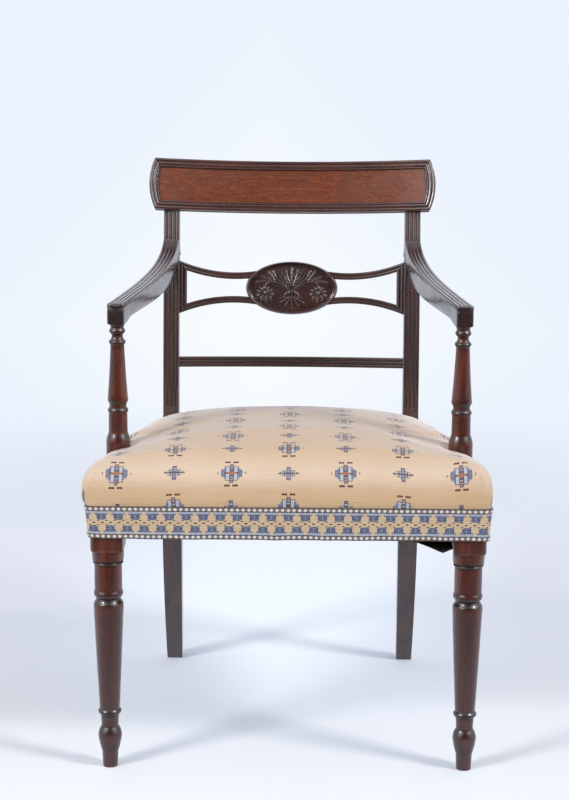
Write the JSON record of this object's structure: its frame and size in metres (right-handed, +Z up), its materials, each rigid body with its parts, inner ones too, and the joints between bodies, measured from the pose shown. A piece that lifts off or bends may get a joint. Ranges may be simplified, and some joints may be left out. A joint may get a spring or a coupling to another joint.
{
  "type": "open armchair",
  "caption": "Open armchair in mahogany: curved reeded crest rail, pierced splat with an oval carved tablet, swept arms on turned supports, stuffed seat with a woven border.",
  "frame": {"origin": "on the floor, under the middle of the whole chair", "axes": "+X to the right of someone who faces the chair, +Y towards its back, +Z up; left and right in the node names are as that person sees them"},
  "size_m": [0.566, 0.5442, 0.8403],
  "materials": {
    "mahogany": "French polished, dark red-brown, worn lighter on the turnings",
    "figured_mahogany": "French polished veneer, orange-brown with a fine flecked figure",
    "beech": "plain, unpolished",
    "woven_cover": "satin-faced straw ground with small stepped motifs in blue and rust",
    "galloon": "woven border, blue stepped pyramids between dotted edges",
    "jute": "coarse webbing",
    "hessian": "coarse plain weave",
    "black_cambric": "thin, matt black",
    "screw_steel": "dull, slightly tarnished"
  },
  "bodies": {
    "root": {"front_leg_right": "mahogany", "front_leg_left": "mahogany", "back_post_right": "mahogany", "back_post_left": "mahogany", "arm_right": "mahogany", "arm_left": "mahogany", "arm_support_right": "mahogany", "arm_support_left": "mahogany", "splat_end_right": "mahogany", "splat_end_left": "mahogany", "splat_bar_upper_right": "mahogany", "splat_bar_upper_left": "mahogany", "splat_bar_lower_right": "mahogany", "splat_bar_lower_left": "mahogany", "crest_strip_end_right": "mahogany", "crest_strip_end_left": "mahogany", "crest_rail": "mahogany", "crest_strip_top": "mahogany", "crest_strip_bottom": "mahogany", "splat_tablet": "mahogany", "lower_back_rail": "mahogany", "crest_panel": "figured_mahogany", "seat_rail_front": "beech", "seat_rail_back": "beech", "seat_rail_right": "beech", "seat_rail_left": "beech", "corner_block_front_right": "beech", "corner_block_front_left": "beech", "corner_block_back_right": "beech", "corner_block_back_left": "beech", "arm_screw_right": "screw_steel", "arm_screw_left": "screw_steel", "web_long_1": "jute", "web_cross_1": "jute", "web_long_2": "jute", "web_cross_2": "jute", "web_long_3": "jute", "web_cross_3": "jute", "web_long_4": "jute", "web_cross_4": "jute", "base_cloth": "hessian", "seat_cushion": "woven_cover", "seat_band": "galloon", "dust_cover": "black_cambric"}
  },
  "joints": []
}
